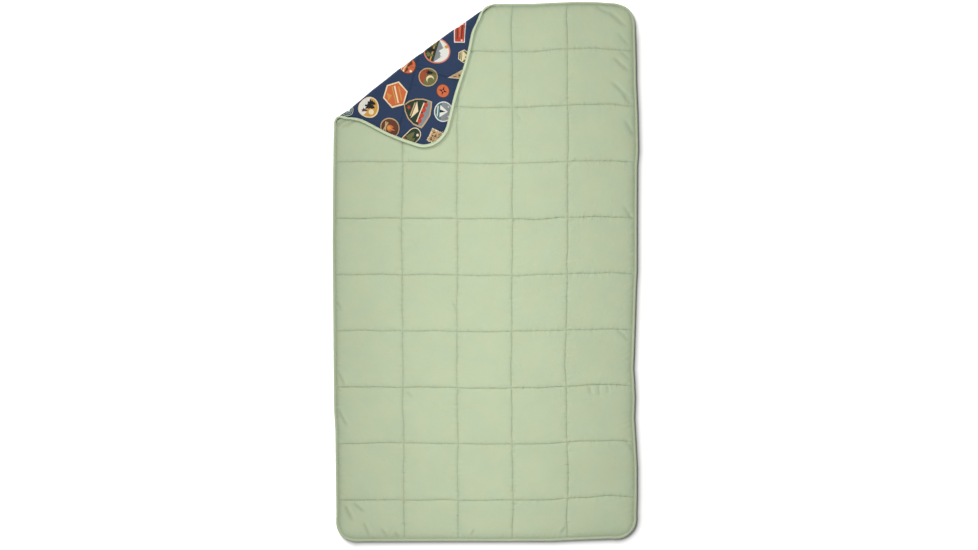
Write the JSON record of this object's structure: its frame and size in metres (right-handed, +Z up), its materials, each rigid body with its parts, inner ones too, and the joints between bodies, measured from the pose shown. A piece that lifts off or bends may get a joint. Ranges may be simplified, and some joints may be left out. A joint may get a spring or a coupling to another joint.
{
  "type": "quilted camp blanket",
  "caption": "Rectangular quilted camp blanket with rounded corners, corded edge, printed liner and one corner turned back.",
  "frame": {"origin": "on the floor under the middle of the blanket's outline", "axes": "+Z up, +Y towards the head end, +X to the right seen from above with the head end up; the turned-back corner is at the head end's left"},
  "size_m": [1.08, 1.925, 0.027],
  "materials": {
    "shell_fabric": "soft woven, sage green",
    "liner_fabric": "woven, navy with small printed camp motifs",
    "fill": "white polyester fill",
    "binding_tape": "woven tape, pale sage",
    "cord": "twisted cotton, off-white",
    "edge_thread": "spun polyester thread, sage",
    "quilting_thread": "spun polyester thread, sage"
  },
  "bodies": {
    "head_half": {"outer_shell_head": "shell_fabric", "outer_shell_fold_bend": "shell_fabric", "printed_liner_head": "liner_fabric", "printed_liner_fold_bend": "liner_fabric", "fill_pads_head": "fill", "fill_pads_fold_bend": "fill", "edge_binding_head": "binding_tape", "edge_binding_fold_bend": "binding_tape", "edge_cord_head": "cord", "edge_cord_fold_bend": "cord", "edge_stitching_head": "edge_thread", "stitching_fold_bend": "quilting_thread", "quilting_thread_row_1": "quilting_thread", "quilting_thread_row_2": "quilting_thread", "quilting_thread_row_3": "quilting_thread", "quilting_thread_row_4": "quilting_thread", "quilting_thread_row_5": "quilting_thread", "quilting_thread_column_1_head": "quilting_thread", "quilting_thread_column_2_head": "quilting_thread", "quilting_thread_column_3_head": "quilting_thread", "quilting_thread_column_4_head": "quilting_thread"},
    "turned_corner": {"outer_shell_corner": "shell_fabric", "printed_liner_corner": "liner_fabric", "fill_pads_corner": "fill", "edge_binding_corner": "binding_tape", "edge_cord_corner": "cord", "edge_stitching_corner": "edge_thread", "quilting_thread_row_1_corner": "quilting_thread", "quilting_thread_column_1_corner": "quilting_thread", "quilting_thread_column_2_corner": "quilting_thread"},
    "middle_panel": {"outer_shell_middle": "shell_fabric", "printed_liner_middle": "liner_fabric", "fill_pads_middle": "fill", "edge_binding_middle": "binding_tape", "edge_cord_middle": "cord", "edge_stitching_middle": "edge_thread", "quilting_thread_row_6": "quilting_thread", "quilting_thread_row_7": "quilting_thread", "quilting_thread_row_8": "quilting_thread", "quilting_thread_column_1_middle": "quilting_thread", "quilting_thread_column_2_middle": "quilting_thread", "quilting_thread_column_3_middle": "quilting_thread", "quilting_thread_column_4_middle": "quilting_thread"},
    "foot_panel": {"outer_shell_foot": "shell_fabric", "printed_liner_foot": "liner_fabric", "fill_pads_foot": "fill", "edge_binding_foot": "binding_tape", "edge_cord_foot": "cord", "edge_stitching_foot": "edge_thread", "quilting_thread_row_9": "quilting_thread", "quilting_thread_column_1_foot": "quilting_thread", "quilting_thread_column_2_foot": "quilting_thread", "quilting_thread_column_3_foot": "quilting_thread", "quilting_thread_column_4_foot": "quilting_thread"}
  },
  "joints": [
    {"name": "corner_fold", "type": "hinge", "parent": "head_half", "child": "turned_corner", "pos_m": [-0.25798, 0.76527, 0.0135], "axis": [-0.8049, -0.5934, 0], "range_deg": [0, 180], "deforming": ["edge_binding_fold_bend", "edge_cord_fold_bend", "fill_pads_fold_bend", "outer_shell_fold_bend", "printed_liner_fold_bend", "stitching_fold_bend"]},
    {"name": "half_fold", "type": "hinge", "parent": "head_half", "child": "middle_panel", "pos_m": [0, -0.0118, 0.0135], "axis": [-1, 0, 0], "range_deg": [0, 174]},
    {"name": "foot_fold", "type": "hinge", "parent": "middle_panel", "child": "foot_panel", "pos_m": [0, -0.6148, 0.0135], "axis": [-1, 0, 0], "range_deg": [0, 178]}
  ]
}
